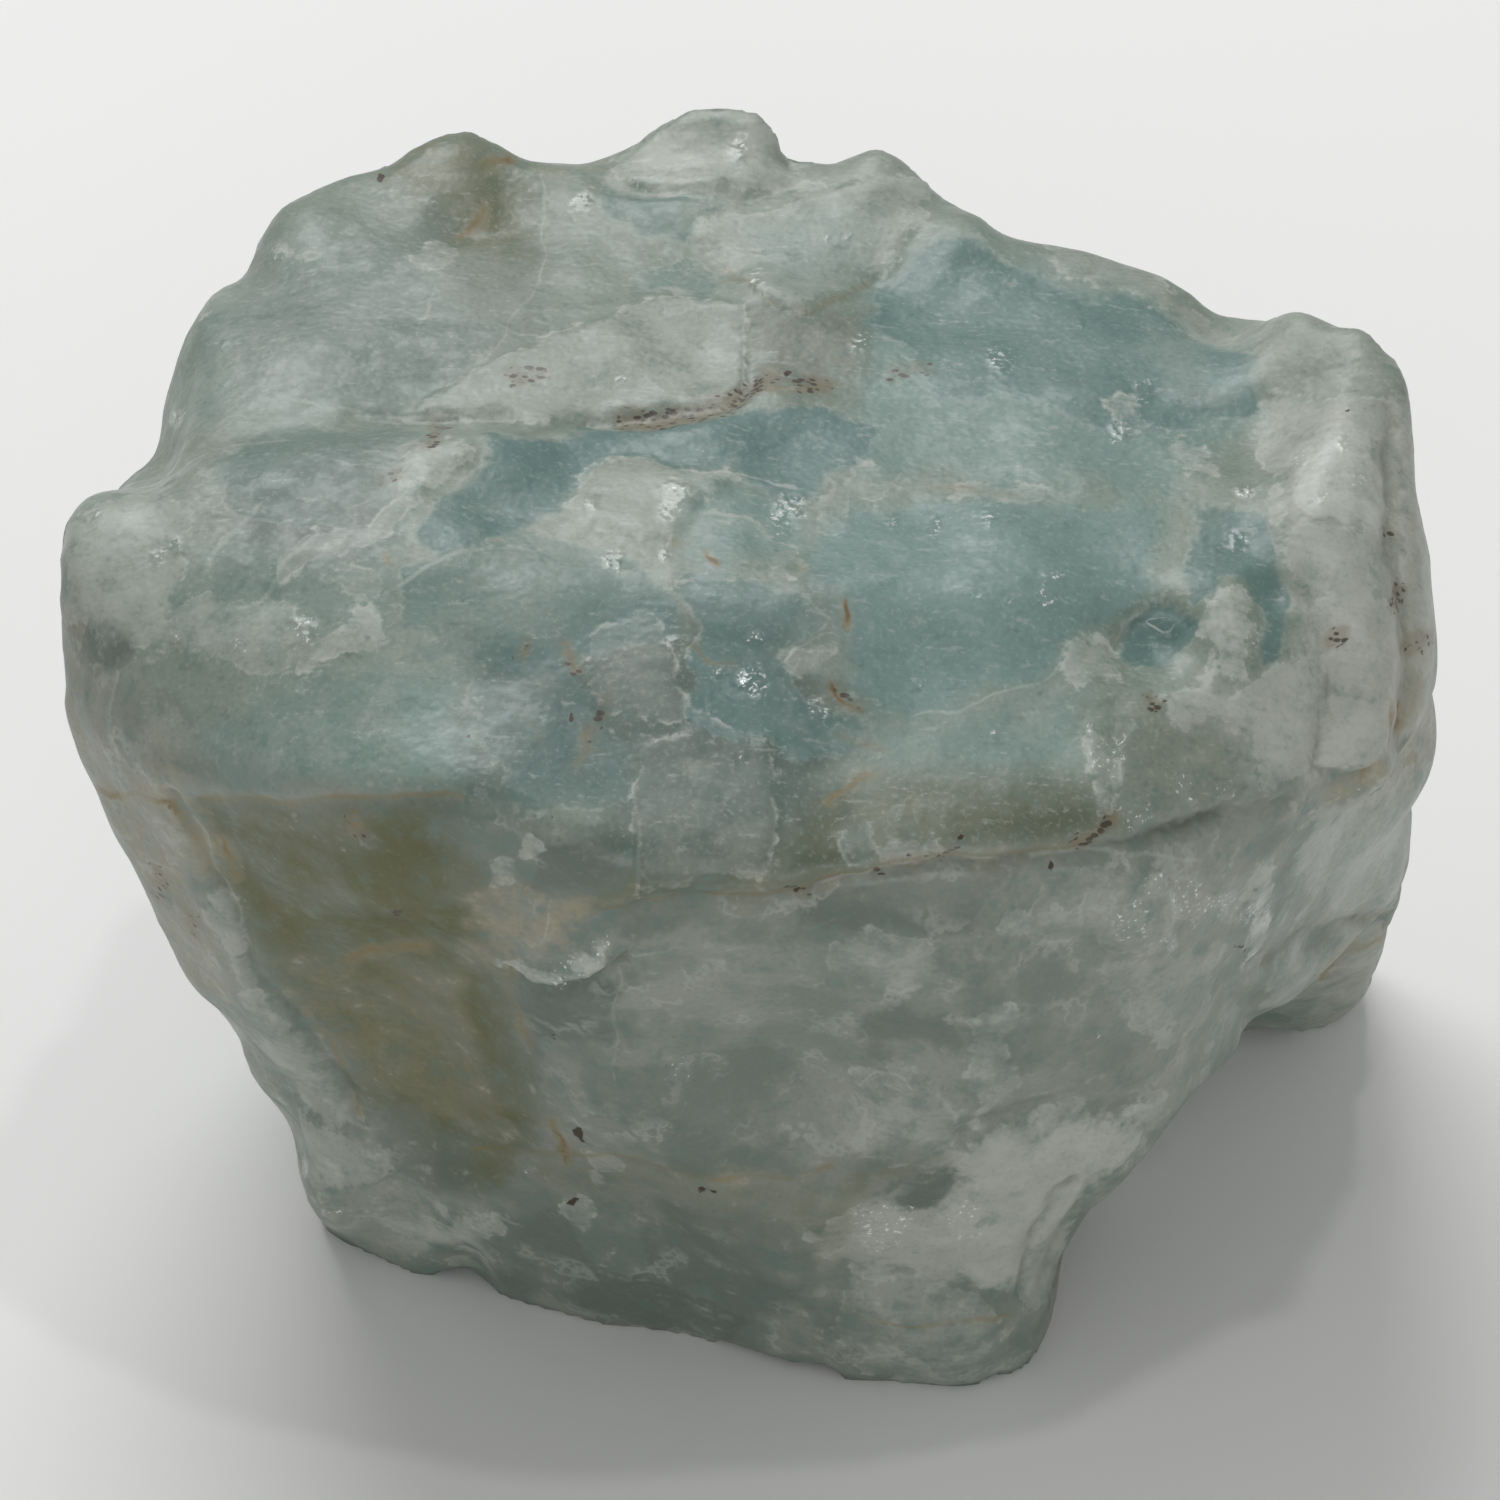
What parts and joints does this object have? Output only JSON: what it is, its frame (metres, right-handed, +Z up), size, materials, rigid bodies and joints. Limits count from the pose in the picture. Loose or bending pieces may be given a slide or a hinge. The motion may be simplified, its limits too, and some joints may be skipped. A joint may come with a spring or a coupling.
{
  "type": "raw aquamarine crystal lump",
  "caption": "Rough, unpolished lump of cloudy blue-green aquamarine with broken faces, ledges and a flat fracture face that it rests on.",
  "frame": {"origin": "under the middle of the lump's bounding box, on the surface that it rests on", "axes": "+Z up, +X to the right along the lump's longest side, the face seen in the picture towards -Y"},
  "size_m": [0.0778, 0.063, 0.0563],
  "materials": {
    "aquamarine": "satin"
  },
  "bodies": {
    "root": {"aquamarine": "aquamarine"}
  },
  "joints": []
}
